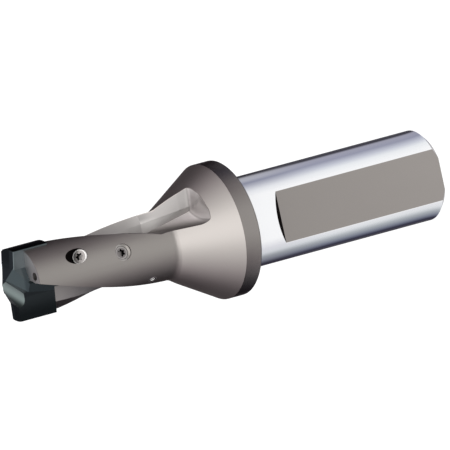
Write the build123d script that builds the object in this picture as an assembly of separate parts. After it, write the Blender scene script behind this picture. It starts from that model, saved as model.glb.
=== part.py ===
from build123d import *
import math
import os

# Replaceable-tip drill: a one-piece steel body (shank, flange, cone and fluted
# front) that carries a screwed-in carbide drill tip.
# Frame: origin at the centre of the shank's end face, +Z along the axis to the tip.
# The flat on the shank faces -Y. All sizes are in millimetres and degrees.

# Shank
shank_d = 20.0
shank_length = 50.0
shank_chamfer = 1.1
flat_depth = 1.8
flat_length = 42.6
flat_end_angle = 45.0
seam_angle = 52.5

# Flange and cone
flange_d = 29.8
flange_thickness = 4.0
flange_edge = 0.3
cone_half_angle = 30.0
neck_blend_radius = 3.0

# Fluted front of the body
body_d = 15.2
seat_z = 95.0
finger_height = 5.85
helix_angle = 18.0
flute_count = 2

# Flute section, in the frame of a wing of the tip: u runs outwards along the wing,
# v runs the way the drill turns. The core is the deep corner of the flute, and the
# knee is the crease half way up its trailing wall.
wing_angle = -13.7
wall_offset = 2.9
foot_u = 2.3
core = (-0.45, 3.2)
knee = (0.25, 5.5)
heel_u = 0.44
floor_sag = 0.12
edge_angle = 6.0
edge_width = 3.3

# Stretch where the bevel of the land's edge runs out into the flute's wall, and the
# straight ramp on which each flute then leaves the body through the cone. The ramp ends
# in a quarter turn outwards, which the floor starts later than the wall beside it.
bevel_fade_z = 80.0
helix_end_z = 69.5
fade_steps = 4
bevel_share = 0.6
exit_z = 61.5
flute_end_z = 58.9
helix_end_edge = (7.9, 0.7)
helix_end_foot = (3.6, 2.4)
ramp_edge = (12.2, -0.35)
ramp_foot = (10.0, -0.1)
ramp_core = (4.7, 4.8)
ramp_knee = (5.4, 5.6)
ramp_heel = (7.2, 9.0)
ramp_sag = 0.75
exit_shift = 5.5
exit_angle = 8.0
exit_steps = 7
floor_delay = 42.0

# Drill tip: a Z-shaped blade, a round hub under it and a stem. Heights are above the
# seat, and points are in the frame of a wing.
tip_d = 16.0
blade_back = 1.45
hub_corner_u = 3.8
hub_front_u = 1.15
hub_d = 6.6
seat_lead = 1.0
hub_length = 2.6
stem_d = 4.4
stem_length = 10.4
stem_chamfer = 0.8
point_height = 11.3
lip_knee_u = 4.25
lip_knee_height = 9.1
lip_corner_height = 8.85
relief_angle = 5.5
heel_point = (4.1, -1.45, 8.6)
heel_lean = 57.7
heel_swing = 2.3
heel_limit = (1.56, -0.5)
heel_limit_angle = -49.0
gash_radius = 2.6
gash_point = (1.1, 3.45, 10.85)
gash_run = (0.59, 0.53, -0.61)
corner_chamfer = 0.35

# Clamp screw, tilted so that it pulls the tip back onto its seat
clamp_angle = -64.2
clamp_drop = 4.4
clamp_tilt = 48.0
clamp_head_d = 3.3
clamp_head_length = 1.5
clamp_head_sink = 1.6
clamp_thread_d = 2.2
clamp_reach = 8.6

# Ejector screw, radial, below the end of the stem
ejector_angle = -78.2
ejector_drop = 15.4
ejector_d = 3.0
ejector_length = 4.2
ejector_cone = 1.1
ejector_tip_d = 1.0
ejector_sink = 0.95
ejector_bore_d = 3.8
ejector_chamber = 1.7

# Six-lobed sockets of the two screws
socket_d = 1.75
lobe_d = 0.46
socket_depth = 0.9
socket_lobes = 6
screw_edge = 0.15

# Coolant way: an inlet in the shank, a finer bore behind it, a helical channel in
# each land, and a plugged cross drilling that joins them
inlet_d = 8.0
inlet_length = 44.0
inlet_chamfer = 0.5
drill_point_angle = 118.0
feed_d = 3.0
feed_end_z = 73.6
channel_d = 1.8
channel_radius = 5.85
channel_angle = -78.4
cross_z = 72.5
plug_d = 1.3
plug_length = 0.9
plug_sink = 0.12
plug_slot = 0.3
plug_slot_depth = 0.35

# Fits, and how far cutters run past a face
seat_clearance = 0.02
stem_clearance = 0.02
stem_end_gap = 0.1
screw_clearance = 0.02
head_clearance = 0.12
overcut = 1.0

# Worked out from the sizes above
shank_r = shank_d / 2
body_r = body_d / 2
tip_r = tip_d / 2
flange_r = flange_d / 2
flange_z = shank_length + flange_thickness
finger_z = seat_z + finger_height
clamp_z = seat_z - clamp_drop
ejector_z = seat_z - ejector_drop
neck_z = flange_z + (flange_r - body_r) / math.tan(math.radians(cone_half_angle))
twist_rate = math.degrees(math.tan(math.radians(helix_angle)) / tip_r)
helix_end_angle = wing_angle + twist_rate * (helix_end_z - seat_z)
edge_u = body_r * math.cos(math.radians(edge_angle))
edge_v = body_r * math.sin(math.radians(edge_angle))
bevel_rise = wall_offset - edge_v
bevel_u = edge_u - math.sqrt(edge_width**2 - bevel_rise**2)
outside = 2 * flange_d


def turned_plane(angle, z):
    """Plane across the axis at height z, with its x axis turned by angle."""
    turn = math.radians(angle)
    return Plane(origin=(0, 0, z), x_dir=(math.cos(turn), math.sin(turn), 0), z_dir=(0, 0, 1))


def around(solid):
    """The solid and its turned copies, one for each flute."""
    step = 360 / flute_count
    return [Rot(0, 0, step * index) * solid for index in range(flute_count)]


def blend(start, end, share):
    """Point on the way from start to end."""
    return tuple(a + (b - a) * share for a, b in zip(start, end))


def flute_face(plane, bevel, edge, foot, deep, crease, heel, sag):
    """Section of one flute on a plane: bevelled wall, curved floor and heel wall."""
    slope = (edge[1] - bevel[1]) / (edge[0] - bevel[0])
    start = (edge[0] + outside, edge[1] + slope * outside)
    lean = (heel[0] - crease[0]) / (heel[1] - crease[1])
    top = (heel[0] + lean * outside, heel[1] + outside)
    middle = ((foot[0] + deep[0]) / 2, (foot[1] + deep[1]) / 2 - sag)
    outline = [
        Line(start, bevel),
        Line(bevel, foot),
        ThreePointArc(foot, middle, deep),
        Line(deep, crease),
        Line(crease, top),
        Line(top, (start[0], top[1])),
        Line((start[0], top[1]), start),
    ]
    return (plane * make_face(outline)).face()


def helix_face(z):
    """Flute section in the twisted part, where the bevel may run out into the wall."""
    share = max(0, (bevel_fade_z - z) / (bevel_fade_z - helix_end_z))
    foot_start = (foot_u, wall_offset)
    bevel_end = blend(helix_end_foot, helix_end_edge, bevel_share)
    return flute_face(
        turned_plane(wing_angle + twist_rate * (z - seat_z), z),
        blend((bevel_u, wall_offset), bevel_end, share),
        blend((edge_u, edge_v), helix_end_edge, share),
        blend(foot_start, helix_end_foot, share),
        core,
        knee,
        (heel_u, body_r),
        floor_sag,
    )


def moved_out(point, turn):
    """Point of a flute section after so many degrees of the exit's quarter turn."""
    shift = exit_shift * (1 - math.cos(math.radians(turn)))
    swing = math.radians(exit_angle)
    return (point[0] + shift * math.cos(swing), point[1] + shift * math.sin(swing))


def ramp_face(turn):
    """Flute section where the exit's quarter turn starts (0) or further along it."""
    z = exit_z + (flute_end_z - exit_z) * math.sin(math.radians(turn))
    share = (helix_end_z - z) / (helix_end_z - flute_end_z)
    floor_turn = 90 * max(0, turn - floor_delay) / (90 - floor_delay)
    foot = moved_out(blend(helix_end_foot, ramp_foot, share), turn)
    edge = moved_out(blend(helix_end_edge, ramp_edge, share), turn)
    return flute_face(
        turned_plane(helix_end_angle, z),
        blend(foot, edge, bevel_share),
        edge,
        foot,
        moved_out(blend(core, ramp_core, share), floor_turn),
        moved_out(blend(knee, ramp_knee, share), floor_turn),
        moved_out(blend((heel_u, body_r), ramp_heel, share), floor_turn),
        floor_sag + (ramp_sag - floor_sag) * share,
    )


def helix_cutter():
    """Twisted part of one flute whose section stays the same."""
    rise = seat_z + point_height - bevel_fade_z
    return Solid.extrude_linear_with_rotation(
        helix_face(bevel_fade_z), (0, 0, bevel_fade_z), (0, 0, rise), twist_rate * rise
    )


def run_out_cutters():
    """The rest of one flute: fading bevel, straight ramp and curved exit."""
    fade = [
        helix_face(bevel_fade_z + (helix_end_z - bevel_fade_z) * step / fade_steps)
        for step in range(fade_steps + 1)
    ]
    ramp = [helix_face(helix_end_z), ramp_face(0)]
    curved_exit = [ramp_face(90 * step / exit_steps) for step in range(exit_steps + 1)]
    return [loft(fade), loft(ramp, ruled=True), loft(curved_exit)]


def body_blank():
    """Turned shank, flange, cone and front, with their seam clear of every cut."""
    with BuildSketch(Plane.XZ) as outline:
        with BuildLine():
            Polyline(
                (0, 0),
                (shank_r - shank_chamfer, 0),
                (shank_r, shank_chamfer),
                (shank_r, shank_length),
                (flange_r - flange_edge, shank_length),
                (flange_r, shank_length + flange_edge),
                (flange_r, flange_z),
                (body_r, neck_z),
                (body_r, finger_z),
                (0, finger_z),
                close=True,
            )
        make_face()
        neck = outline.vertices().sort_by_distance((body_r, neck_z, 0))[0]
        fillet(neck, neck_blend_radius)
    return Rot(0, 0, seam_angle) * revolve(outline.sketch, Axis.Z)


def shank_flat():
    """Cutter of the flat on the shank, with its sloped end."""
    floor = shank_r - flat_depth
    run = flat_depth / math.tan(math.radians(flat_end_angle))
    outline = Polyline(
        (-floor, -overcut),
        (-floor, flat_length - run),
        (-floor - 2 * flat_depth, flat_length + run),
        (-shank_d, flat_length + run),
        (-shank_d, -overcut),
        close=True,
    )
    return extrude(Plane.YZ * make_face(outline), shank_r, both=True)


def surface_plane(angle, z, tilt):
    """Plane on the surface of the land, facing outwards and tilted towards the tip."""
    turn = math.radians(angle)
    lift = math.radians(tilt)
    out = Vector(math.cos(turn), math.sin(turn), 0)
    normal = out * math.cos(lift) + Vector(0, 0, math.sin(lift))
    return Plane(origin=out * body_r + Vector(0, 0, z), z_dir=normal)


def rod(plane, diameter, low, high):
    """Cylinder on a plane's axis, between two distances along it."""
    base = (Align.CENTER, Align.CENTER, Align.MIN)
    return plane * Pos(0, 0, low) * Cylinder(diameter / 2, high - low, align=base)


def drill_point(plane, diameter, small_d, low):
    """Cone that a drill leaves at the end of a hole."""
    height = (diameter - small_d) / 2 / math.tan(math.radians(drill_point_angle / 2))
    base = (Align.CENTER, Align.CENTER, Align.MIN)
    return plane * Pos(0, 0, low) * Cone(diameter / 2, small_d / 2, height, align=base)


def socket(plane, top):
    """Six-lobed socket cut down from a height on the plane's axis."""
    lobe_circle = (socket_d - lobe_d) / 2
    outline = Circle(lobe_circle)
    for index in range(socket_lobes):
        outline += Rot(0, 0, 360 / socket_lobes * index) * Pos(lobe_circle, 0) * Circle(lobe_d / 2)
    return plane * Pos(0, 0, top - socket_depth) * extrude(outline, 2 * socket_depth)


def wing_frame(height):
    """Frame of the wings at a height above the seat."""
    return turned_plane(wing_angle, seat_z + height)


def back_of_blade(clearance):
    """Line behind the hub and the other wing, from the hub's front corner outwards."""
    return [
        (-hub_front_u - clearance, wall_offset + clearance),
        (-hub_corner_u - clearance, blade_back + clearance),
        (-tip_d, blade_back + clearance),
    ]


def two_sided(half):
    """Face whose outline is a half and the same half turned by 180 degrees."""
    other = [(-u, -v) for u, v in half]
    return make_face(Polyline(*half, *other, close=True))


def lip_cutter():
    """Space above one wing: a lip in two parts that falls away behind its edge."""
    fall = math.tan(math.radians(relief_angle))
    outer_slope = (lip_knee_height - lip_corner_height) / (tip_r - lip_knee_u)
    drop = wall_offset * fall
    lip = [
        (0, point_height),
        (lip_knee_u, lip_knee_height - drop),
        (tip_d, lip_knee_height - drop - outer_slope * (tip_d - lip_knee_u)),
        (tip_d, 3 * point_height),
        (0, 3 * point_height),
    ]
    front = Plane(origin=(0, tip_r, tip_r * fall), x_dir=(1, 0, 0), z_dir=(0, -1, 0))
    face = (front * make_face(Polyline(*lip, close=True))).face()
    return Solid.extrude(face, Vector(0, -2 * tip_d, -2 * tip_d * fall))


def heel_cutter():
    """Sloping space behind the inner part of one wing."""
    swing = math.radians(heel_swing)
    lean = math.radians(heel_lean)
    normal = Vector(
        math.sin(swing) * math.sin(lean),
        -math.cos(swing) * math.sin(lean),
        math.cos(lean),
    )
    base = (Align.CENTER, Align.CENTER, Align.MIN)
    space = Plane(origin=heel_point, z_dir=normal) * Box(4 * tip_d, 4 * tip_d, tip_d, align=base)
    side = Pos(*heel_limit) * Rot(0, 0, heel_limit_angle) * Box(
        tip_d, 4 * tip_d, 4 * point_height, align=(Align.MIN, Align.CENTER, Align.CENTER)
    )
    return space & side


def gash_cutter():
    """Round gash that thins the web in front of the inner lip."""
    return rod(Plane(origin=gash_point, z_dir=gash_run), 2 * gash_radius, -tip_d, tip_d)


def corner_cutter():
    """Ring that takes the sharp corner off the outer end of each lip."""
    size = corner_chamfer
    with BuildSketch(Plane.XZ) as outline:
        with BuildLine():
            Polyline(
                (tip_r - size, lip_corner_height),
                (tip_r + size, lip_corner_height - 2 * size),
                (tip_r + size, lip_corner_height + size),
                close=True,
            )
        make_face()
    return revolve(outline.sketch, Axis.Z)


def clamp_plane():
    """Plane of the clamp screw at the surface of the land."""
    return surface_plane(clamp_angle, clamp_z, clamp_tilt)


def ejector_plane():
    """Plane of the ejector screw at the surface of the land."""
    return surface_plane(ejector_angle, ejector_z, 0)


def drill_tip():
    """Carbide tip: blade with lips, flanks and gashes, hub and stem."""
    front = [(tip_d, wall_offset), (foot_u, wall_offset), core]
    blade = extrude(two_sided(front + back_of_blade(0)), 2 * point_height)
    blade &= rod(Plane.XY, tip_d, 0, 2 * point_height)
    for cutter in (lip_cutter(), heel_cutter(), gash_cutter()):
        blade -= around(cutter)
    blade -= corner_cutter()
    hub = rod(turned_plane(0, seat_z), hub_d, -hub_length, 0) - around(helix_cutter())
    stem = rod(turned_plane(0, seat_z), stem_d, -hub_length - stem_length, -hub_length)
    stem = chamfer(stem.edges().sort_by(Axis.Z)[0], stem_chamfer)
    notch_d = clamp_thread_d + 4 * screw_clearance
    notch = rod(clamp_plane(), notch_d, -clamp_reach - screw_clearance, 0)
    return wing_frame(0) * blade + hub + (stem - notch)


def tip_seat():
    """Pocket for the tip: the blade's slot, open to the flutes, and its two bores."""
    front = [(tip_d, tip_d), (2 * heel_u, tip_d), (2 * heel_u, core[1] + seat_lead)]
    slot = extrude(two_sided(front + back_of_blade(seat_clearance)), 2 * finger_height)
    axis = turned_plane(0, seat_z)
    hub_bore = rod(axis, hub_d + 2 * seat_clearance, -hub_length - stem_end_gap, 0)
    chamber_z = ejector_z - ejector_chamber - seat_z
    stem_bore = rod(axis, stem_d + 2 * stem_clearance, chamber_z, 0)
    return [wing_frame(0) * slot, hub_bore, stem_bore]


def clamp_holes():
    """Stepped hole of the clamp screw, open to the stem bore."""
    plane = clamp_plane()
    seat = -clamp_head_sink - clamp_head_length
    head = rod(plane, clamp_head_d + 2 * head_clearance, seat, body_d)
    thread = rod(plane, clamp_thread_d + 2 * screw_clearance, -clamp_reach - overcut, seat)
    return [head, thread]


def ejector_holes():
    """Counterbored hole of the ejector screw, open to the chamber under the stem."""
    plane = ejector_plane()
    mouth = rod(plane, ejector_bore_d, -ejector_sink, body_d)
    thread = rod(plane, ejector_d + 2 * screw_clearance, -body_r, -ejector_sink)
    return [mouth, thread]


def coolant_bores():
    """Inlet in the shank and the finer feed bore in front of it."""
    inlet = rod(Plane.XY, inlet_d, -overcut, inlet_length)
    cone = drill_point(Plane.XY, inlet_d, feed_d, inlet_length)
    mouth = Pos(0, 0, -inlet_chamfer) * Cone(
        inlet_d / 2 + 2 * inlet_chamfer, inlet_d / 2, 2 * inlet_chamfer,
        align=(Align.CENTER, Align.CENTER, Align.MIN),
    )
    feed = rod(Plane.XY, feed_d, inlet_length, feed_end_z)
    return [inlet, cone, mouth, feed]


def channel_turn(z):
    """Angle of the coolant channel at a height."""
    return channel_angle - twist_rate * (finger_z - z)


def coolant_channel():
    """Helical channel from the cross drilling to the end of the finger."""
    low = cross_z - channel_d / 2
    rise = finger_z + channel_d - low
    plane = turned_plane(channel_turn(low), low)
    face = (plane * Pos(channel_radius, 0) * Circle(channel_d / 2)).face()
    return Solid.extrude_linear_with_rotation(face, (0, 0, low), (0, 0, rise), twist_rate * rise)


def cross_plane():
    """Plane of the cross drilling at the surface of the land."""
    return surface_plane(channel_turn(cross_z), cross_z, 0)


def cross_drilling():
    """Hole from the surface of the land to the feed bore."""
    return rod(cross_plane(), plug_d + 2 * screw_clearance, -body_r, body_d)


def drill_body():
    """Steel body: turned blank, flat, flutes, seat, screw holes and coolant way."""
    body = body_blank() - shank_flat()
    body -= around(helix_cutter())
    for cutter in run_out_cutters():
        body -= around(cutter)
    for cutter in (*tip_seat(), *clamp_holes(), *ejector_holes(), *coolant_bores()):
        body -= cutter
    body -= around(coolant_channel())
    body -= around(cross_drilling())
    return body


def clamp_screw():
    """Screw with a round head, whose end bears in the notch of the stem."""
    plane = clamp_plane()
    top = -clamp_head_sink
    seat = top - clamp_head_length
    screw = rod(Plane.XY, clamp_head_d, seat, top)
    screw = chamfer(screw.edges().sort_by(Axis.Z)[-1], screw_edge)
    screw += rod(Plane.XY, clamp_thread_d, -clamp_reach, seat)
    return plane * (screw - socket(Plane.XY, top))


def ejector_screw():
    """Set screw with a conical end that lifts the stem when it is driven in."""
    top = -ejector_sink
    end = top - ejector_length
    screw = rod(Plane.XY, ejector_d, end + ejector_cone, top)
    screw = chamfer(screw.edges().sort_by(Axis.Z)[-1], screw_edge)
    screw += Pos(0, 0, end) * Cone(
        ejector_tip_d / 2, ejector_d / 2, ejector_cone,
        align=(Align.CENTER, Align.CENTER, Align.MIN),
    )
    return ejector_plane() * (screw - socket(Plane.XY, top))


def coolant_plug():
    """Slotted plug in the mouth of a cross drilling."""
    top = -plug_sink
    plug = rod(Plane.XY, plug_d, top - plug_length, top)
    slot = Pos(0, 0, top) * Box(2 * plug_d, plug_slot, 2 * plug_slot_depth)
    return cross_plane() * (plug - slot)


parts = {
    "drill_body": drill_body(),
    "drill_tip": drill_tip(),
    "clamp_screw": clamp_screw(),
    "ejector_screw": ejector_screw(),
    "coolant_plugs": Compound(children=around(coolant_plug())),
}
os.makedirs("parts", exist_ok=True)
for name, solid in parts.items():
    export_step(solid, f"parts/{name}.step")
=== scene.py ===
# %% [markdown]
# A drill with a replaceable tip shows four metals: the steel of its body, dark coated
# carbide at the tip, bright screws, and two small plugs. The solids come from the packed
# model. They could be modelled again here, but then the picture and the real part would
# drift apart. So this notebook gives them their finishes, puts detailed plugs in place of
# the plain ones, and sets up the floor, the lamp and the camera. The model is loaded
# first, because every later step is placed by it.

# %% Load the packed drill
import math

import bpy
from mathutils import Matrix, Vector


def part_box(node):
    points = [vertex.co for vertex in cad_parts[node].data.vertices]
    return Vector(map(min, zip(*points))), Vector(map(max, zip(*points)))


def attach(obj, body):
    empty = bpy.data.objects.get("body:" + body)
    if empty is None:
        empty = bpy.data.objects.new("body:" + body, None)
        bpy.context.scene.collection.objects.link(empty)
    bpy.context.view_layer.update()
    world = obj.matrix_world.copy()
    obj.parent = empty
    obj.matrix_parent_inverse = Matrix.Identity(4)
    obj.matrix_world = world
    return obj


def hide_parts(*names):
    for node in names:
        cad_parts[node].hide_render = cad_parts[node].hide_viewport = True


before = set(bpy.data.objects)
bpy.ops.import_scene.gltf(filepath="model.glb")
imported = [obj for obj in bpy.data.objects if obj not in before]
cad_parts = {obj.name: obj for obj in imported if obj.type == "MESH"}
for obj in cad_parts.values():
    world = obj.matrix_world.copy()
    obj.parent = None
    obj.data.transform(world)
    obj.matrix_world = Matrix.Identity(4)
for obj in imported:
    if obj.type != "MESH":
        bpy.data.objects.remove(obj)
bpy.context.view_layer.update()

MM = 0.001
print("nodes:", sorted(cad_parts))

# %% [markdown]
# A finish on real metal is a pattern: rings from the lathe, lines from the cutter. In
# Blender, a pattern with no picture behind it is a tree of nodes. The tree could be wired
# by hand, one link at a time, but it is easier to read as a sum. So a small class wraps
# the output of a node, and its operators add Math nodes. A second class owns a tree and
# has one method that makes any node: it sets the node's options first, and then fills or
# links its inputs.


# %% A node's output that can be used in sums
class Flow:
    """The output of a node, usable in Python sums."""

    def __init__(self, tree, socket):
        self.tree = tree
        self.socket = socket

    def __add__(self, other):
        return self.tree.maths("ADD", self, other)

    def __radd__(self, other):
        return self.tree.maths("ADD", other, self)

    def __sub__(self, other):
        return self.tree.maths("SUBTRACT", self, other)

    def __rsub__(self, other):
        return self.tree.maths("SUBTRACT", other, self)

    def __mul__(self, other):
        return self.tree.maths("MULTIPLY", self, other)

    def __rmul__(self, other):
        return self.tree.maths("MULTIPLY", other, self)

    def __truediv__(self, other):
        return self.tree.maths("DIVIDE", self, other)

    def __rtruediv__(self, other):
        return self.tree.maths("DIVIDE", other, self)

    def __pow__(self, other):
        return self.tree.maths("POWER", self, other)


print("a node's output now takes the operators + - * / **")


# %% A node tree with one method that makes nodes
class Tree:
    """A node tree that is filled from Python."""

    def __init__(self, node_tree):
        self.node_tree = node_tree
        self.node_tree.nodes.clear()

    def node(self, kind, settings=None, inputs=None, output=0):
        """Makes a node, sets its options, then fills or links its inputs."""
        made = self.node_tree.nodes.new(kind)
        for name, value in (settings or {}).items():
            if name == "stops":
                self.set_stops(made.color_ramp.elements, value)
            else:
                setattr(made, name, value)
        for name, value in (inputs or {}).items():
            if isinstance(value, Flow):
                self.node_tree.links.new(value.socket, made.inputs[name])
            else:
                made.inputs[name].default_value = value
        return Flow(self, made.outputs[output]) if made.outputs else None

    def set_stops(self, ramp, stops):
        """Gives a colour ramp its stops, each a place and a colour."""
        while len(ramp) < len(stops):
            ramp.new(1.0)
        for element, (place, colour) in zip(ramp, stops):
            element.position = place
            element.color = (*colour, 1)

    def same_node(self, flow, output):
        """Another output of the node that a value came from."""
        return Flow(self, flow.socket.node.outputs[output])

    def maths(self, operation, *values):
        settings = {"operation": operation}
        return self.node("ShaderNodeMath", settings, dict(enumerate(values)))

    def vector_maths(self, operation, *values, output=0):
        settings = {"operation": operation}
        return self.node("ShaderNodeVectorMath", settings, dict(enumerate(values)), output)

    def tell(self, made):
        """Prints what was made and how many nodes the tree holds by now."""
        print(f"{made}: {len(self.node_tree.nodes)} nodes so far")


print("a tree fills itself with:", [name for name in vars(Tree) if name[0] != "_"])

# %% [markdown]
# A finish has to know where on the drill it is: how high, how far from the axis, how
# near to a hole. In a workshop that is a job for gauges, and a tree of nodes can have its
# own. They could be built anew in each material, but as methods of one class they are
# written once, and a pattern then reads like a drawing with sizes.


# %% Gauges
class Gauge(Tree):
    """A node tree that can measure places and directions."""

    def vector(self, x, y, z):
        return self.node("ShaderNodeCombineXYZ", None, {0: x, 1: y, 2: z})

    def split(self, vector):
        """The three parts of a vector."""
        kind = "ShaderNodeSeparateXYZ"
        return [self.node(kind, None, {0: vector}, axis) for axis in range(3)]

    def dot(self, first, second):
        return self.vector_maths("DOT_PRODUCT", first, second, output=1)

    def length(self, vector):
        return self.vector_maths("LENGTH", vector, output=1)

    def larger(self, first, second):
        return self.maths("MAXIMUM", first, second)

    def turned(self, place, angle):
        """A place turned about the drill's axis."""
        settings = {"rotation_type": "Z_AXIS"}
        return self.node("ShaderNodeVectorRotate", settings, {"Vector": place, "Angle": angle})

    def from_line(self, place, origin, direction):
        """Distance along a line from its origin, and distance from the line."""
        offset = self.vector_maths("SUBTRACT", place, origin)
        ahead = self.dot(offset, direction)
        reach = self.length(offset)
        return ahead, self.larger(reach * reach - ahead * ahead, 0.0) ** 0.5


print("gauges:", [name for name in vars(Gauge) if name[0] != "_"])

# %% [markdown]
# A mask is a number on the surface: 1 where a finish lies, 0 where it doesn't, and
# something between at its border. It could be painted as a picture, but that blurs when
# the camera comes near, while a sum of places and sizes stays sharp. The product of two
# masks is their overlap, and the larger of two is both together. Colours are mixed by
# mask with the Mix node, because a Math node would turn them grey.


# %% Masks and colours
class Graph(Gauge):
    """A node tree that can also make masks and mix colours."""

    def step(self, value, start, end):
        """0 below start and 1 above end, with a soft change between them."""
        settings = {"interpolation_type": "SMOOTHSTEP"}
        inputs = {"Value": value, "From Min": start, "From Max": end}
        return self.node("ShaderNodeMapRange", settings, inputs)

    def before(self, value, start, end):
        """1 below start and 0 above end."""
        return 1.0 - self.step(value, start, end)

    def reaches(self, value, face):
        """1 from a hair before a face onwards, and 0 up to there."""
        return self.step(value, face - 0.06, face - 0.02)

    def mix(self, share, first, second):
        """Colour between two others, which the Mix node takes in inputs 6 and 7."""
        pair = [tint if isinstance(tint, Flow) else (*tint, 1) for tint in (first, second)]
        inputs = {0: share, 6: pair[0], 7: pair[1]}
        return self.node("ShaderNodeMix", {"data_type": "RGBA"}, inputs, 2)

    def painted(self, colour, layers):
        """A colour with other colours laid over it, each where its mask is 1."""
        for mask, tint in layers:
            colour = self.mix(mask, colour, tint)
        return colour

    def noise(self, place, detail, rough=0.5):
        settings = {"noise_dimensions": "3D"}
        inputs = {"Vector": place, "Scale": 1.0, "Detail": detail, "Roughness": rough}
        return self.node("ShaderNodeTexNoise", settings, inputs)


print("masks and colours:", [name for name in vars(Graph) if name[0] != "_"])

# %% [markdown]
# Every metal of this drill is a material that starts from the same facts: where a spot
# is, in millimetres, how far it is from the axis, and which way it faces. An unwrapped
# map of the surface could tell it too, but it would need a seam in every flute. The
# object's own coordinates have no seams, and they stay with the drill when it is moved.


# %% A material that knows where it is on the drill
class Finish(Graph):
    """A material whose pattern knows where it is on the drill."""

    def __init__(self, name):
        self.material = bpy.data.materials.new(name)
        self.material.use_nodes = True
        super().__init__(self.material.node_tree)
        local = self.node("ShaderNodeTexCoord", None, None, "Object")
        scale = {"operation": "SCALE"}
        self.place = self.node("ShaderNodeVectorMath", scale, {0: local, "Scale": 1 / MM})
        self.x, self.y, self.z = self.split(self.place)
        self.r = (self.x * self.x + self.y * self.y) ** 0.5

    def facing(self):
        """The direction that the surface faces."""
        return self.node("ShaderNodeTexCoord", None, None, "Normal")

    def grain(self, across, up, detail, rough=0.5):
        """Noise with so many grains per millimetre across the drill and up it."""
        place = self.vector(self.x * across, self.y * across, self.z * up)
        return self.noise(place, detail, rough)

    def close(self, marks, depth, **inputs):
        """Adds the marks as a bump of a depth in metres, and the shader."""
        bump_inputs = {"Height": marks, "Distance": depth, "Strength": 1.0}
        normal = self.node("ShaderNodeBump", None, bump_inputs)
        named = {key.replace("_", " "): value for key, value in inputs.items()}
        shader = self.node("ShaderNodeBsdfPrincipled", None, {**named, "Normal": normal})
        self.node("ShaderNodeOutputMaterial", None, {"Surface": shader})
        return self.material


print("a finish adds:", [name for name in vars(Finish) if name[0] != "_"])


# %% Giving a solid its finish
def dress(node_name, material):
    """Puts a material on a solid of the packed model."""
    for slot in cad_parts[node_name].material_slots:
        slot.material = material
    print(node_name, "now wears", material.name)


print("solids to dress:", len(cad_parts))

# %% [markdown]
# The body is one piece of steel with several finishes. It could be split into pieces with
# a plain material each, but the real body has no joints there, so it gets one material
# that masks the finishes apart. First comes the shank, the part that the machine holds.
# It is ground round and bright, with a chamfer at its end, and a flat is milled into it
# for the holder's screws. The flat ends in a small sloped wall, and its shadow is painted
# shade.

# %% The masks of the shank and its flat
shank_r = 10.0
shank_end = 50.0
shank_chamfer = 1.1
inlet_r = 4.5
flat_y = -8.2
flat_wall = 40.8
steel = Finish("satin steel body")

behind_flange = 1.0 - steel.reaches(steel.z, shank_end)
above_flat = steel.step(steel.y, flat_y + 0.02, flat_y + 0.06)
round_wall = steel.reaches(steel.r, shank_r)
end_chamfer = steel.before(steel.z, shank_chamfer, shank_chamfer + 0.05) * above_flat
end_chamfer = end_chamfer * steel.step(steel.r, inlet_r + 0.1, inlet_r + 0.2)
ground = behind_flange * steel.larger(round_wall, end_chamfer)

flat = steel.before(steel.y, flat_y - 0.05, flat_y + 0.03) * (1.0 - ground) * behind_flange
# Painted shade: the sloped wall at the end of the flat is painted near black.
end_wall = flat * (1.0 - steel.reaches(steel.y, flat_y))
end_wall = end_wall * steel.step(steel.z, flat_wall, flat_wall + 0.05)
steel.tell("masks of the shank and its flat")

# %% [markdown]
# Two screws and two plugs sit in holes that start in a land, the round strip between two
# flutes. Inside, such a hole looks nearly black, because little light gets in, and that
# shade is painted into the colour. The light alone could do that, with many more bounces
# than a picture has time for. A mask is quicker: a spot is in a hole when it is near
# enough to the hole's axis and below the land. A plug's hole has a bright bevel round a
# rim of painted shade, and the hole of the lower screw a wall of painted light below an
# edge of painted shade.

# %% The axes of the holes
land_r = 7.6


def outward(angle, height, tilt):
    """Where an axis leaves the land, and its direction, in millimetres."""
    turn, lift = math.radians(angle), math.radians(tilt)
    out = Vector((math.cos(turn), math.sin(turn), 0))
    direction = out * math.cos(lift) + Vector((0, 0, math.sin(lift)))
    return out * land_r + Vector((0, 0, height)), direction


plug_angle = -144.45
plug_z = 72.5
plug_axis = outward(plug_angle, plug_z, 0)
clamp_axis = outward(-64.2, 90.6, 48)
ejector_axis = outward(-78.2, 79.6, 0)
for origin, direction in (plug_axis, clamp_axis, ejector_axis):
    print("an axis leaves the land at mm:", [round(value, 2) for value in origin])

# %% Gauges for the holes
hole_depth = 5.0
below_land = 1.0 - steel.reaches(steel.r, land_r)


def in_hole(axis, radius):
    """1 on the wall and floor of a hole in the body."""
    ahead, away = steel.from_line(steel.place, *axis)
    not_too_deep = steel.step(ahead, -hole_depth, -hole_depth + 0.1)
    return steel.before(away, radius, radius + 0.03) * below_land * not_too_deep


def from_plug(finish):
    """Distances along and from the axis of the nearer of the two opposite plugs."""
    side = finish.maths("SIGN", finish.dot(finish.place, plug_axis[1]))
    mirrored = finish.vector(finish.x * side, finish.y * side, finish.z)
    return finish.from_line(mirrored, *plug_axis)


print("holes are looked for down to mm:", hole_depth)

# %% The masks of the holes
plug_r = 0.65
clamp_hole_r = 1.79
ejector_hole_r = 1.92
plug_hole_depth = 1.1
edge_depth = 0.32

plug_ahead, plug_away = from_plug(steel)
near_plug = steel.step(plug_ahead, -plug_hole_depth - 0.1, -plug_hole_depth)
# Painted shade: a dark rim round each plug.
plug_rim = steel.before(plug_away, plug_r + 0.05, plug_r + 0.11) * near_plug
plug_bevel = steel.before(plug_away, plug_r + 0.3, plug_r + 0.35) * near_plug
ejector_ahead = steel.from_line(steel.place, *ejector_axis)[0]
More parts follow.
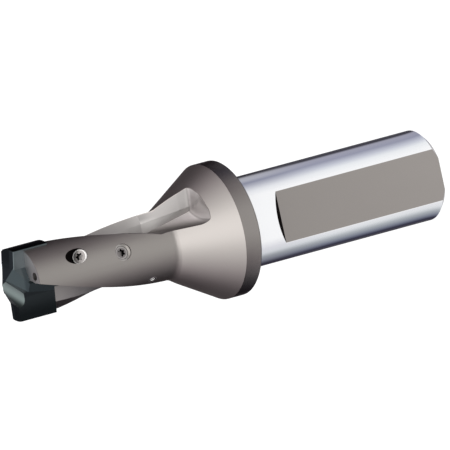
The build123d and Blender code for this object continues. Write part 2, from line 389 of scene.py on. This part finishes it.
# Painted light: the wall of the lower screw's hole is paler than the steel, and its edge gets
# painted shade.
mouth = in_hole(ejector_axis, ejector_hole_r)
mouth_edge = mouth * steel.step(ejector_ahead, -edge_depth - 0.1, -edge_depth)
# Painted shade: the clamp screw's hole, the plugs' rims, the edge of the lower screw's hole
# and the end wall of the flat are painted near black.
dark = in_hole(clamp_axis, clamp_hole_r)
for shadow in (plug_rim, mouth_edge, end_wall):
    dark = steel.larger(dark, shadow)
steel.tell("masks of the holes")

# %% [markdown]
# In front of the shank the body is turned on a lathe and plated in a satin warm grey, and
# the rim of the flange is polished a little more. The flutes, the two grooves for the
# chips, are milled into that turned shape. Their mask could be traced along every edge,
# but it needs no drawing: whatever lies deeper than the cone or the land is a flute.

# %% The masks of the rim and the flutes
body_low, body_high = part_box("drill_body")
flange_r = (body_high.x - body_low.x) / 2 / MM
flange_top = 54.0
cone_slope = math.tan(math.radians(30))

cone_wall = flange_r - (steel.z - flange_top) * cone_slope
outer_r = steel.larger(cone_wall, land_r)
behind_cone = steel.before(steel.z, flange_top - 0.02, flange_top + 0.02)
rim_band = steel.step(steel.r, flange_r - 0.5, flange_r - 0.4) * behind_cone
above_flange = steel.step(steel.z, flange_top + 0.2, flange_top + 0.6)
in_flute = steel.step(outer_r - steel.r, 0.08, 0.25) * above_flange
print("flange radius in mm:", round(flange_r, 2))
steel.tell("masks of the rim and the flutes")

# %% [markdown]
# Chips slide from the tip along the flutes and leave through the cone. The last stretch,
# a straight ramp, has its light and shade painted into its colour. Its floor gets painted
# light near the top and beside the core, the wall that ends it goes from dark to nearly
# white, and the hollow that faces upwards gets a painted highlight. One even grey would be
# simpler, but the flutes would lose their shape in it. So height, distance from the axis
# and the direction that a spot faces tell which tone it gets. Each soft border is a pair:
# where a tone starts, and where it is fully there.

# %% The tones of the straight ramp
ramp_top = 69.5
darker_to_top_z, painted_floor_light_z = (66.5, ramp_top), (64.8, 67.4)
core_r, pale_x = (5.4, 6.6), (3.0, 4.5)
end_wall_facing = (0.95, -0.31, 0.0)
faces = steel.facing()
faces_end = steel.maths("ABSOLUTE", steel.dot(faces, end_wall_facing))
faces_up = steel.split(faces)[2]
from_middle = steel.maths("ABSOLUTE", steel.x)

# Painted light and shade on the ramp: its side darkens towards the top, its floor is lighter
# near the top beside the core, its end wall goes from dark to nearly white away from the
# middle, and the hollow that faces upwards gets a painted highlight.
darker_to_top, pale = steel.step(steel.z, *darker_to_top_z), steel.step(from_middle, *pale_x)
ramp_side = steel.mix(darker_to_top, (0.33, 0.314, 0.306), (0.24, 0.23, 0.224))
ramp_end = steel.mix(pale, (0.24, 0.228, 0.223), (1.0, 0.965, 0.94))
painted_floor_light = steel.step(steel.z, *painted_floor_light_z) * steel.before(steel.r, *core_r)
ramp = steel.painted(ramp_side, [
    (painted_floor_light, (0.4, 0.384, 0.372)),
    (steel.step(faces_end, 0.5, 0.75), ramp_end),
    (steel.step(faces_up, 0.75, 0.95), (0.8, 0.77, 0.75)),
])
steel.tell("tones of the straight ramp")

# %% The tones of the twisted flutes
# The ends of the two fingers that hold the tip are brighter than the flutes.
finger_z = 100.85
twisted = steel.painted((0.44, 0.42, 0.409), [
    (steel.step(steel.z, ramp_top, ramp_top + 3.0), (0.37, 0.352, 0.342)),
    (steel.step(steel.z, finger_z - 0.05, finger_z - 0.01), (0.6, 0.565, 0.56)),
])
on_ramp = steel.before(steel.z, ramp_top - 0.05, ramp_top + 0.05)
fluted = steel.mix(on_ramp, twisted, ramp)
steel.tell("tones of the twisted flutes")

# %% [markdown]
# Each way of cutting leaves its own marks. Turning leaves rings, grinding leaves finer
# rings, and milling leaves lines along the cutter's path: up the flat, and up the twist
# of the flutes. For the twisted ones a spot is turned back by as much as the flute has
# turned at its height, which makes them straight lines. All marks are only a few
# thousandths of a millimetre deep. As geometry they would need millions of faces, so
# they are a bump in the shading.

# %% The flutes turned back to straight ones
seat_z = 95.0
tip_r = 8.0
wing_turn = math.radians(-13.7)
helix_angle = math.radians(18)
twist_per_mm = math.tan(helix_angle) / tip_r

untwist = (steel.z - seat_z) * -twist_per_mm - wing_turn
u, v, h = steel.split(steel.turned(steel.place, untwist))
print("twist in degrees per mm:", round(math.degrees(twist_per_mm), 3))

# %% The marks of the cutters
ring_place = steel.vector(steel.x * 0.05, steel.y * 0.05, (steel.z - steel.r) * 3.2)
turning = steel.noise(ring_place, detail=3.0, rough=0.65)
grinding = steel.grain(across=0.2, up=7.0, detail=2.0, rough=0.6)
flute_place = steel.vector(u * 3.4, v * 3.4, h * 0.12)
flute_lines = steel.noise(flute_place, detail=3.0, rough=0.6)
flat_lines = steel.grain(across=4.5, up=0.12, detail=3.0, rough=0.6)
turned = (1.0 - in_flute) * (1.0 - ground) * (1.0 - flat)
marks = turning * turned + grinding * ground * 0.4 + flute_lines * in_flute + flat_lines * flat
steel.tell("marks of the cutters")

# %% The finished body
tone = steel.grain(across=0.09, up=0.06, detail=3.0)
warm_grey = steel.mix(tone, (0.39, 0.363, 0.344), (0.43, 0.402, 0.382))
body_colour = steel.painted(warm_grey, [
    (in_flute, fluted),
    (rim_band, (0.35, 0.324, 0.31)),
    (flat, (0.172, 0.154, 0.146)),
    # Painted light on the wall of the lower screw's hole.
    (mouth, (0.6, 0.58, 0.56)),
    (plug_bevel, (0.8, 0.78, 0.76)),
    # Painted shade, near black, in the holes, round the plugs and on the flat's end wall.
    (dark, (0.012, 0.01, 0.01)),
    (ground, (0.93, 0.935, 0.95)),
])
body_rough = 0.36 + tone * 0.06 - ground * 0.3 + flat * 0.06 + dark * 0.3 - rim_band * 0.16
dress("drill_body", steel.close(
    marks, depth=2.5e-6,
    Base_Color=body_colour, Metallic=1.0, Roughness=body_rough,
    Specular_Tint=(0.5, 0.48, 0.49, 1),
))

# %% [markdown]
# The tip is cemented carbide under a thin dark coating. Its faces are ground one by one,
# at different angles and with different wheels, and each gets its own painted tone of light
# and shade by how it tilts and where it stands.
# The faces of one wing could be masked first and copied for the other. It is simpler to
# fold the two wings onto each other: half a turn leaves the tip as it is, so the sign of
# one coordinate says which half a spot is in, and both halves share one pair of measures,
# outwards along the wing and forwards from its middle plane. The back of a wing is in the
# other half, so there the measure outwards is negative.

# %% The tip's own coordinates
carbide = Finish("dark coated carbide")
wing_u, wing_v = carbide.split(carbide.turned(carbide.place, -wing_turn))[:2]
wing = carbide.maths("SIGN", wing_v)
outwards, forwards = wing_u * wing, wing_v * wing
above_seat = carbide.z - seat_z
tilt = carbide.split(carbide.facing())[2]
carbide.tell("the tip's own coordinates")

# %% [markdown]
# On each wing the relief is the face behind the cutting edge on top, the rake is the
# front face where the chip forms, and the margin is the narrow round strip that guides
# the tip in its hole. These three are polished, and they get a near-black painted shade.
# The other faces, such as the slopes and the back of the wings, are not, and they get
# other painted tones of light and shade. Painted masks would have to be drawn again for
# another size. But the faces are planes and rounds, so how much they tilt and where they
# stand gives their masks.

# %% The masks of the three polished faces, which get painted shade
relief_tilt, relief_z = (0.78, 0.84), (5.0, 6.0)
rake_plane = (2.84, 2.87)
relief = carbide.step(tilt, *relief_tilt) * carbide.step(above_seat, *relief_z)
# The rake starts nearer to the axis higher up.
rake_foot = 2.3 - 1.1 * carbide.step(above_seat, 0.0, 8.0)
rake = carbide.step(forwards, *rake_plane) * carbide.step(outwards - rake_foot, -0.05, 0.05)
rake = rake * (1.0 - relief)
margin = carbide.step(carbide.r, tip_r - 0.1, tip_r - 0.04)
# Painted shade: the relief, the rake and the margin get near-black tones.
painted_shade_faces = carbide.larger(carbide.larger(relief, rake), margin)
carbide.tell("masks of the polished faces")

# %% The masks of the slopes, the back of the wings and the upper part
slope_tilt, slope_z = (0.3, 0.45), (0.5, 1.0)
back_start, back_end = (1.38, 1.42), (1.5, 1.56)
back_reach, upper_z = (-3.9, -3.7), (6.6, 7.2)
sloped = carbide.step(tilt, *slope_tilt) * (1.0 - relief)
sloped = sloped * carbide.step(above_seat, *slope_z)
back = carbide.step(forwards, *back_start) * carbide.before(forwards, *back_end)
back = back * carbide.before(outwards, *back_reach) * (1.0 - painted_shade_faces)
upper = carbide.step(above_seat, *upper_z)
carbide.tell("masks of the other faces")

# %% [markdown]
# A gash is the round cut beside the point that lets the chip out from the middle. It
# could be masked by its edges, but they bend where it meets the other faces. The cut
# itself is simple: a grinding wheel left a round trough along a line, so every spot of it
# is equally far from that line. Its tone is painted light and shade: dark where it faces
# sideways, and pale as it turns upwards.

# %% The masks of the two gashes
gash_r = 2.6
gash_point = (1.1, 3.45, 10.85)
gash_run = Vector((0.59, 0.53, -0.61)).normalized()


def gash_wall(sign):
    """1 on the round wall of one wing's gash."""
    spot = carbide.vector(wing_u * sign, wing_v * sign, above_seat)
    away = carbide.from_line(spot, gash_point, gash_run)[1]
    return carbide.before(away, gash_r + 0.02, gash_r + 0.06)


gash = carbide.larger(gash_wall(1.0), gash_wall(-1.0))
# Painted light and shade on the gash: dark where it faces sideways, pale where it faces
# upwards.
gash_tone = carbide.mix(
    carbide.step(tilt, 0.28, 0.7), (0.022, 0.027, 0.027), (0.15, 0.179, 0.176)
)
carbide.tell("masks of the two gashes")

# %% [markdown]
# The coating is a dark blue-grey film, a little uneven and paler near the point. On the
# polished faces it gets a near-black painted shade, and on the slopes and the back of the
# wings other painted tones. One flat colour would be simpler, but the faces would run
# together in it. The film is so thin that the fine scratches of the grinding wheel show
# through. They run outwards along the wing, so the noise behind them is stretched that
# way. As on the body, a bump is enough for them.

# %% The tones of the coating
film = carbide.grain(across=0.3, up=0.3, detail=2.0)
coating = carbide.painted(
    carbide.mix(film, (0.047, 0.062, 0.069), (0.06, 0.077, 0.083)),
    [(upper, (0.088, 0.11, 0.117))],
)
# Painted shade on the faces: the slopes are darker than the coating, and the rake and the
# relief are near black and darken further outwards.
slope_tone = carbide.mix(upper, (0.029, 0.037, 0.042), (0.045, 0.057, 0.062))
outer = carbide.step(outwards, 2.4, 6.4)
rake_tone = carbide.mix(outer, (0.036, 0.044, 0.048), (0.013, 0.017, 0.019))
relief_tone = carbide.mix(outer, (0.021, 0.026, 0.031), (0.008, 0.01, 0.013))
painted_face_shade = carbide.painted(rake_tone, [
    (relief, relief_tone),
    (margin, (0.008, 0.01, 0.011)),
])
carbide.tell("tones of the coating")

# %% The finished tip
scratch_place = carbide.vector(wing_u * 0.5, wing_v * 6.0, carbide.z * 6.0)
scratches = carbide.noise(scratch_place, detail=3.0, rough=0.6)
# The tones of the slopes, the polished faces, the back of the wings and the gashes are painted
# light and shade.
tip_colour = carbide.painted(coating, [
    (sloped, slope_tone),
    (painted_shade_faces, painted_face_shade),
    (back, (0.15, 0.18, 0.19)),
    (gash, gash_tone),
])
dress("drill_tip", carbide.close(
    scratches, depth=1.2e-6,
    Base_Color=tip_colour, Metallic=0.9, Roughness=0.3 + film * 0.08,
    Specular_Tint=(0.6, 0.64, 0.66, 1),
))

# %% [markdown]
# The screws are small turned pieces of steel. Turning leaves rings on their heads, the
# bevel round a head gets a paler painted highlight, and the six-lobed socket gets a dark
# painted shade. Each could have a material of its own, made by hand, but all of this
# only depends on how far a spot is along and from the screw's axis. So one function
# makes the finish of both.

# %% Sizes of the sockets
socket_r = 0.875
socket_core_r = 0.6
socket_depth = 0.84
# Painted shade in the sockets.
socket_shade_colour = (0.004, 0.004, 0.004)
print("socket across its lobes in mm:", 2 * socket_r)


# %% The screws
def screw_finish(name, axis, head_top, head_r, face, edge):
    """Turned steel with rings round its axis, a painted highlight on its bevel and painted
    shade in its socket.
    """
    made = Finish(name)
    ahead, away = made.from_line(made.place, *axis)
    lathe_rings = made.noise(made.vector(away * 14.0, 0.0, 0.0), detail=1.0)
    # Painted highlight: the bevel is paler and less metallic, so it stays bright.
    bevel = made.step(away, head_r - 0.42, head_r - 0.34)
    inside = made.before(away, socket_r, socket_r + 0.05)
    inside = inside * made.before(ahead, head_top - 0.07, head_top - 0.03)
    socket_floor = head_top - socket_depth
    above_floor = made.step(ahead, socket_floor - 0.04, socket_floor)
    in_lobes = made.step(away, socket_core_r - 0.08, socket_core_r)
    # Painted shade on the socket's walls and in its lobes.
    socket_shade = inside * made.larger(above_floor, in_lobes)
    return made.close(
        lathe_rings, depth=1.0e-6,
        Base_Color=made.painted(face, [(bevel, edge), (socket_shade, socket_shade_colour)]),
        Metallic=1.0 - bevel * 0.75,
        Roughness=0.28 + lathe_rings * 0.08 + socket_shade * 0.3,
    )


# The clamp screw's bevel gets a strong painted highlight, the ejector screw's a faint one.
dress("clamp_screw", screw_finish(
    "bright screw steel", clamp_axis, head_top=-1.6, head_r=1.77,
    face=(0.36, 0.338, 0.325), edge=(0.97, 0.95, 0.92),
))
dress("ejector_screw", screw_finish(
    "dark screw steel", ejector_axis, head_top=-0.95, head_r=1.5,
    face=(0.29, 0.27, 0.268), edge=(0.4, 0.38, 0.37),
))

# %% [markdown]
# A coolant hole is drilled right across the body, and a small plug closes each of its
# two mouths. Both are the same turned pin with a bevelled edge and a saw cut for a
# screwdriver, so one could be modelled and copied by hand. Geometry Nodes suit them
# better: the pin is described by its sizes, and half a turn per copy puts the second one
# opposite the first. The saw cut is a Boolean, because it has to be real geometry: its
# dark line, painted shade on the cut, is what shows at this size.

# %% The plugs' sizes as inputs of a node tree
plug_sink = 0.12
plug_sizes = {
    "Pin Radius": plug_r * MM,
    "Pin Length": 0.85 * MM,
    "Edge Bevel": 0.05 * MM,
    "Cut Width": 0.36 * MM,
    "Cut Depth": 0.3 * MM,
    "Cut Turn": math.radians(38),
    "Sink": plug_sink * MM,
    "Land Radius": land_r * MM,
    "Height": plug_z * MM,
    "Angle": math.radians(plug_angle),
}
plug_tree = bpy.data.node_groups.new("slotted plugs", "GeometryNodeTree")
for name in plug_sizes:
    plug_tree.interface.new_socket(name, in_out="INPUT", socket_type="NodeSocketFloat")
plug_tree.interface.new_socket("Finish", in_out="INPUT", socket_type="NodeSocketMaterial")
plug_tree.interface.new_socket("Plugs", in_out="OUTPUT", socket_type="NodeSocketGeometry")
pin = Graph(plug_tree)
print("inputs of the plugs' tree:", len(plug_sizes) + 1)


# %% Two helpers for the plugs' tree
def given(name):
    """One of the sizes that the tree is given."""
    return pin.node("NodeGroupInput", None, None, name)


def moved(mesh, turn, shift):
    """A mesh turned and then shifted."""
    rotation = pin.node("FunctionNodeEulerToRotation", None, {0: turn})
    inputs = {"Geometry": mesh, "Rotation": rotation, "Translation": shift}
    return pin.node("GeometryNodeTransform", None, inputs)


pin.tell("the plugs' tree")

# %% One pin with its bevel
post = pin.node(
    "GeometryNodeMeshCylinder", {"fill_type": "NGON"},
    {"Vertices": 48, "Radius": given("Pin Radius"), "Depth": given("Pin Length")},
)
rise = pin.vector(0.0, 0.0, given("Edge Bevel"))
raised = pin.node(
    "GeometryNodeExtrudeMesh", {"mode": "FACES"},
    {
        "Mesh": post, "Selection": pin.same_node(post, "Top"),
        "Offset": rise, "Offset Scale": 1.0, "Individual": False,
    },
)
narrower = 1.0 - given("Edge Bevel") / given("Pin Radius")
bevelled = pin.node(
    "GeometryNodeScaleElements", {"domain": "FACE"},
    {"Geometry": raised, "Selection": pin.same_node(raised, "Top"), "Scale": narrower},
)
pin.tell("pin with its bevel")

# %% Its saw cut
pin_top = given("Pin Length") * 0.5 + given("Edge Bevel")
saw_size = pin.vector(given("Pin Radius") * 4.0, given("Cut Width"), given("Cut Depth") * 2.0)
saw = pin.node("GeometryNodeMeshCube", None, {"Size": saw_size})
saw = moved(saw, pin.vector(0.0, 0.0, given("Cut Turn")), pin.vector(0.0, 0.0, pin_top))
slotted = pin.node(
    "GeometryNodeMeshBoolean", {"operation": "DIFFERENCE", "solver": "EXACT"},
    {"Mesh 1": bevelled, "Mesh 2": saw},
)
pin.tell("pin with its saw cut")

# %% Two copies, half a turn apart
out_to_land = given("Land Radius") - given("Sink") - pin_top
sunk = moved(slotted, (0, 0, 0), pin.vector(0.0, 0.0, out_to_land))
sideways = pin.vector(0.0, math.radians(90), given("Angle"))
laid = moved(sunk, sideways, pin.vector(0.0, 0.0, given("Height")))
seats = pin.node("GeometryNodeMeshLine", None, {"Count": 2, "Offset": (0, 0, 0)})
half_turns = pin.vector(0.0, 0.0, pin.node("GeometryNodeInputIndex") * math.pi)
copy_turn = pin.node("FunctionNodeEulerToRotation", None, {0: half_turns})
pair = pin.node(
    "GeometryNodeInstanceOnPoints", None,
    {"Points": seats, "Instance": laid, "Rotation": copy_turn},
)
solid = pin.node("GeometryNodeRealizeInstances", None, {"Geometry": pair})
finished = pin.node(
    "GeometryNodeSetMaterial", None, {"Geometry": solid, "Material": given("Finish")}
)
pin.node("NodeGroupOutput", None, {"Plugs": finished})
pin.tell("two plugs")

# %% [markdown]
# The plugs are bright steel pins, painted nearly white with little metal as painted
# light. The saw cut and the bevel get a dark painted shade, and that dark outline is what
# makes so small a piece readable. It could be a second material on those faces, but a
# mask on depth and distance also finds the floor of the cut, which the Boolean makes anew.

# %% The plugs' finish
silver = Finish("bright plug steel")
haze = silver.grain(across=3.0, up=3.0, detail=2.0)
pin_ahead, pin_away = from_plug(silver)
# Painted shade: the saw cut and the bevel are painted near black.
in_cut = silver.before(pin_ahead, -plug_sink - 0.03, -plug_sink - 0.01)
painted_outline_shade = silver.larger(in_cut, silver.step(pin_away, plug_r - 0.05, plug_r - 0.03))
# Painted light: the pins are near white with little metal, so they stay bright.
painted_light_white = silver.mix(haze, (0.88, 0.87, 0.85), (0.94, 0.93, 0.91))
plug_finish = silver.close(
    haze, depth=1.0e-6,
    Base_Color=silver.mix(painted_outline_shade, painted_light_white, (0.02, 0.018, 0.018)),
    Metallic=0.1, Roughness=0.3 + haze * 0.1,
)
silver.tell("the plugs' finish")

# %% [markdown]
# So far the tree only describes the two pins. It could stay on an object as a live
# modifier, but other programs would not see the pins then. So it is worked out once,
# kept as a plain mesh in the place of the CAD plugs, and the modifier goes. The CAD plugs
# get the same finish, so that the part looks right without this mesh too.

# %% The plugs as one plain mesh
plug_maker = bpy.data.objects.new("plug_maker", bpy.data.meshes.new("plug_maker"))
bpy.context.scene.collection.objects.link(plug_maker)
modifier = plug_maker.modifiers.new("plugs", "NODES")
modifier.node_group = plug_tree
plug_inputs = {**plug_sizes, "Finish": plug_finish}
for socket in plug_tree.interface.items_tree:
    if socket.in_out == "INPUT":
        modifier[socket.identifier] = plug_inputs[socket.name]
ready = plug_maker.evaluated_get(bpy.context.evaluated_depsgraph_get())
plug_mesh = bpy.data.meshes.new_from_object(ready)
plug_maker.modifiers.clear()
bpy.data.objects.remove(plug_maker)
plugs = bpy.data.objects.new("slotted_plugs", plug_mesh)
bpy.context.scene.collection.objects.link(plugs)
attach(plugs, "root")
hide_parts("coolant_plugs")
dress("coolant_plugs", plug_finish)
plug_reach = max(corner.co.xy.length for corner in plug_mesh.vertices) / MM
print("plug faces:", len(plug_mesh.polygons), "reach in mm:", round(plug_reach, 3))

# %% [markdown]
# The photograph looks down on the standing drill from its front. Camera, lamp and floor
# are all placed by that direction. It could be found by moving a camera until the drill
# fits, but the ellipses of the round parts give it as three angles: a rise, a turn, and
# a roll that lays the drill across the picture.

# %% The camera's directions
camera_rise = math.radians(28.1)
camera_turn = math.radians(-83.7)
camera_roll = math.radians(15.15)
level = Vector((math.cos(camera_turn), math.sin(camera_turn), 0))
up = Vector((0, 0, 1))
beside = (-up).cross(level)
toward = math.cos(camera_rise) * level + math.sin(camera_rise) * up
along = -math.cos(camera_rise) * up + math.sin(camera_rise) * level
right = math.cos(camera_roll) * along + math.sin(camera_roll) * beside
down = -math.sin(camera_roll) * along + math.cos(camera_roll) * beside
print("the camera looks from:", [round(value, 3) for value in toward])

# %% [markdown]
# The drill stands on a plain pale sheet. The picture has a white ground, so a camera ray
# sees the sheet as white, while its lit colour still carries the soft shadow. Polished
# metal is different: it has hardly a colour of its own and shows what stands around it.
# A photographer puts pale and dark cards round the drill. Cards could be modelled here
# too, but they would cast shadows and stand in the way of other views. So the sheet
# itself shows them, and only to the rays that metal mirrors.

# %% The sheet
floor_half = 3.0
floor_z = -2e-5
signs = ((-1, -1), (1, -1), (1, 1), (-1, 1))
corners = [(x * floor_half, y * floor_half, floor_z) for x, y in signs]
floor_mesh = bpy.data.meshes.new("floor")
floor_mesh.from_pydata(corners, [], [(0, 1, 2, 3)])
floor = bpy.data.objects.new("floor", floor_mesh)
bpy.context.scene.collection.objects.link(floor)
print("the sheet's side in m:", 2 * floor_half)

# %% [markdown]
# The cards are laid out by bearing: 0 degrees is the camera's side, 180 is behind the
# drill. A round shank mirrors a bearing at half that angle on its wall, but only when
# the floor is far away. Near by, the light leaves from the shank's wall and not from its
# axis. That offset depends on the bearing that is looked for. It could be solved exactly
# with a long formula, but two rounds of a short sum come close enough.

# %% The bearing of a place on the floor
paper_material = bpy.data.materials.new("white paper")
paper_material.use_nodes = True
paper = Graph(paper_material.node_tree)
floor_place = paper.node("ShaderNodeTexCoord", None, None, "Object")
floor_away = paper.length(floor_place)
front_x, front_y = paper.split(paper.turned(floor_place, -camera_turn))[:2]
bearing = -1.0 * paper.maths("ARCTAN2", front_y, front_x)
better = bearing
for _ in range(2):
    offset = paper.maths("SINE", better * 0.5) * (shank_r * MM / floor_away)
    better = bearing + paper.maths("ARCSINE", offset)
whole_turn = 2 * math.pi
card_place = 0.5 + better * (1 / whole_turn)
paper.tell("bearing on the floor")


# %% Cards round the drill
def cards(stops):
    """Colours round the drill, each at a bearing in degrees from the camera's side."""
    ready = [(0.5 + degrees / 360, colour) for degrees, colour in stops]
    print("stops round the drill:", len(ready))
    return paper.node("ShaderNodeValToRGB", {"stops": ready}, {"Fac": card_place})


# %% The cards that the shank mirrors, for its lower and its higher part
low_cards = cards([
    (-180, (0.4, 0.4, 0.42)), (-171, (0.2, 0.2, 0.22)), (-162, (0.15, 0.155, 0.18)),
    (-152, (0.13, 0.13, 0.16)), (-145, (0.06, 0.06, 0.08)), (-140, (0.13, 0.13, 0.16)),
    (-132, (0.46, 0.465, 0.56)), (-110, (0.34, 0.35, 0.45)), (-92, (0.6, 0.62, 0.7)),
    (-78, (0.88, 0.9, 0.92)), (-60, (1.0, 1.0, 1.0)), (60, (1.0, 1.0, 1.0)),
    (84, (0.86, 0.86, 0.88)), (94, (0.76, 0.78, 0.8)), (108, (0.44, 0.47, 0.5)),
    (126, (0.22, 0.24, 0.31)), (140, (0.05, 0.05, 0.09)), (148, (0.08, 0.08, 0.11)),
    (158, (0.15, 0.15, 0.18)), (171, (0.2, 0.2, 0.22)), (180, (0.4, 0.4, 0.42)),
])
high_cards = cards([
    (-180, (0.4, 0.4, 0.42)), (-170, (0.16, 0.16, 0.18)), (-156, (0.05, 0.05, 0.06)),
    (-148, (0.1, 0.1, 0.12)), (-136, (0.56, 0.57, 0.62)), (-120, (0.5, 0.51, 0.58)),
    (-107, (0.29, 0.3, 0.39)), (-92, (0.52, 0.53, 0.6)), (-76, (0.84, 0.85, 0.88)),
    (-60, (1.0, 1.0, 1.0)), (60, (1.0, 1.0, 1.0)), (84, (0.75, 0.75, 0.79)),
    (96, (0.68, 0.7, 0.73)), (110, (0.35, 0.37, 0.4)), (126, (0.23, 0.24, 0.29)),
    (144, (0.06, 0.06, 0.09)), (158, (0.06, 0.05, 0.08)), (170, (0.12, 0.12, 0.14)),
    (180, (0.4, 0.4, 0.42)),
])

# %% The cards for the cone and the lands, and those of the open room
far_cards = cards([
    (-180, (0.5, 0.48, 0.49)), (-162, (0.12, 0.104, 0.115)), (-145, (0.025, 0.019, 0.024)),
    (-120, (0.02, 0.015, 0.019)), (-92, (0.056, 0.044, 0.055)), (-60, (0.224, 0.194, 0.214)),
    (-20, (0.71, 0.71, 0.7)), (20, (0.71, 0.71, 0.7)), (60, (0.214, 0.185, 0.205)),
    (92, (0.046, 0.036, 0.045)), (120, (0.02, 0.015, 0.019)), (145, (0.02, 0.015, 0.019)),
    (162, (0.12, 0.104, 0.115)), (180, (0.5, 0.48, 0.49)),
])
room_cards = cards([
    (-180, (0.62, 0.59, 0.6)), (-163, (0.3, 0.275, 0.29)), (-145, (0.076, 0.06, 0.073)),
    (-122, (0.076, 0.06, 0.073)), (-96, (0.34, 0.31, 0.33)), (-20, (0.5, 0.5, 0.5)),
    (20, (0.5, 0.5, 0.5)), (96, (0.3, 0.27, 0.29)), (122, (0.076, 0.06, 0.073)),
    (145, (0.076, 0.06, 0.073)), (163, (0.3, 0.275, 0.29)), (180, (0.62, 0.59, 0.6)),
])

# %% [markdown]
# How far off a place on the floor is tells which part of the drill mirrors it: a low part
# mirrors the floor close by, a high part mirrors it farther off. One set of cards could
# serve all of it, but in the photograph the shank and the cone show different bands. So
# each set fills one ring of the floor. The ring of the shank ends where the flange
# starts, and that border bends with the round shank.

# %% The rings of cards, in metres from the axis
high_ring = (0.055, 0.09)
flange_ring = (0.0922, 0.0945)
room_ring = (0.21, 0.34)
flange_bend = 0.0105

from_front = paper.maths("COSINE", (card_place - 0.5) * math.pi)
shank_cards = paper.mix(paper.step(floor_away, *high_ring), low_cards, high_cards)
mirrored = paper.painted(shank_cards, [
    (paper.step(floor_away - from_front * flange_bend, *flange_ring), far_cards),
    (paper.step(floor_away, *room_ring), room_cards),
])
paper.tell("rings of cards")

# %% The finished floor
camera_ray = paper.node("ShaderNodeLightPath", None, None, "Is Camera Ray")
glossy_ray = paper.node("ShaderNodeLightPath", None, None, "Is Glossy Ray")
lit = paper.node("ShaderNodeBsdfDiffuse", None, {"Color": (0.8, 0.8, 0.8, 1)})
white = paper.node("ShaderNodeEmission", None, {"Color": (1, 1, 1, 1), "Strength": 1.2})
carded = paper.node("ShaderNodeEmission", None, {"Color": mirrored, "Strength": 1.0})
seen = paper.node("ShaderNodeMixShader", None, {0: camera_ray * 0.8, 1: lit, 2: white})
sheet = paper.node("ShaderNodeMixShader", None, {0: glossy_ray, 1: seen, 2: carded})
paper.node("ShaderNodeOutputMaterial", None, {"Surface": sheet})
floor.data.materials.append(paper_material)
paper.tell("finished floor")

# %% [markdown]
# The photograph is lit from beside the camera, so what faces the camera is brightest and
# both edges of the round body fall off evenly. A ring of small lamps would do it, but one
# large soft lamp on the camera's axis gives the same light with a softer shadow.

# %% The lamp
lamp_aim = Vector((0, 0, 0.055))
lamp_distance = 0.9
lamp_data = bpy.data.lights.new("key", "AREA")
lamp_data.shape = "DISK"
lamp_data.size = 0.9
lamp_data.energy = 1.0
lamp = bpy.data.objects.new("key", lamp_data)
lamp.location = lamp_aim + toward * lamp_distance
lamp.rotation_mode = "QUATERNION"
lamp.rotation_quaternion = toward.to_track_quat("Z", "Y")
lamp.visible_camera = False
bpy.context.scene.collection.objects.link(lamp)
print("lamp at m:", [round(value, 3) for value in lamp.location])

# %% [markdown]
# The room around the drill fills the shadows. It is brightest round the camera and
# darkens to the back, with a violet touch in the darks, because that is how the grey
# steel of the photograph falls off. A photographed room would bring shapes of its own
# into the metal, so this one is only a row of tones. A little light from above and behind
# keeps the far side of the drill readable.

# %% The tones of the room
room = bpy.data.worlds.new("room")
bpy.context.scene.world = room
room.use_nodes = True
air = Graph(room.node_tree)
direction = air.node("ShaderNodeTexCoord", None, None, "Generated")
to_camera = air.dot(direction, toward)
tones = [
    (-1.0, (0.021, 0.015, 0.02)), (-0.55, (0.037, 0.028, 0.036)),
    (-0.25, (0.1, 0.078, 0.095)), (0.2, (0.346, 0.308, 0.337)),
    (0.54, (0.56, 0.542, 0.557)), (0.8, (0.8, 0.8, 0.8)), (1.0, (1.0, 1.0, 1.0)),
]
stops = [(place * 0.5 + 0.5, colour) for place, colour in tones]
front_light = air.node("ShaderNodeValToRGB", {"stops": stops}, {"Fac": to_camera * 0.5 + 0.5})
air.tell("tones of the room")

# %% The light from above and behind, and the finished room
height = air.split(direction)[2]
behind = air.step(to_camera * -1.0, 0.3, 0.8) * air.step(height, 0.25, 0.6)
top_share = air.step(height, 0.1, 0.8) * 0.5 + behind * 0.22
top_light = air.mix(top_share, (0, 0, 0), (1, 1, 1))
room_light = air.vector_maths("ADD", front_light, top_light)
dim = air.node("ShaderNodeBackground", None, {"Color": room_light, "Strength": 1.25})
plain = air.node("ShaderNodeBackground", None, {"Color": (1, 1, 1, 1), "Strength": 1.0})
for_camera = air.node("ShaderNodeLightPath", None, None, "Is Camera Ray")
sky = air.node("ShaderNodeMixShader", None, {0: for_camera, 1: dim, 2: plain})
air.node("ShaderNodeOutputWorld", None, {"Surface": sky})
air.tell("finished room")

# %% [markdown]
# The photograph has almost no perspective. An orthographic camera would have none at
# all, which looks stiff, so the camera stands far off behind a very long lens. How far is
# told by the size of the drill in the picture. It aims a little beside the drill's
# middle, because the photograph is not quite centred.

# %% The camera
picture_pixels = 450
pixels_per_mm = 4.655
shift_right, shift_down = -1.1, -2.6
pixel = MM / pixels_per_mm
camera_data = bpy.data.cameras.new("camera")
camera_data.lens = 1400.0
camera_data.sensor_width = 36.0
camera_data.clip_end = 20.0
distance = picture_pixels * pixel * camera_data.lens / camera_data.sensor_width
drill_middle = Vector((0, 0, 0.050))
target = drill_middle + right * (shift_right * pixel) + down * (shift_down * pixel)
camera = bpy.data.objects.new("camera", camera_data)
camera.rotation_mode = "QUATERNION"
camera.rotation_quaternion = Matrix((right, -down, toward)).transposed().to_quaternion()
camera.location = target + toward * distance
bpy.context.scene.collection.objects.link(camera)
bpy.context.scene.camera = camera
bpy.context.scene.view_settings.view_transform = "Standard"
print("camera distance in m:", round(distance, 3))

# %% [markdown] A finish must not change the drill's size, and a small change wouldn't
# show in the picture.
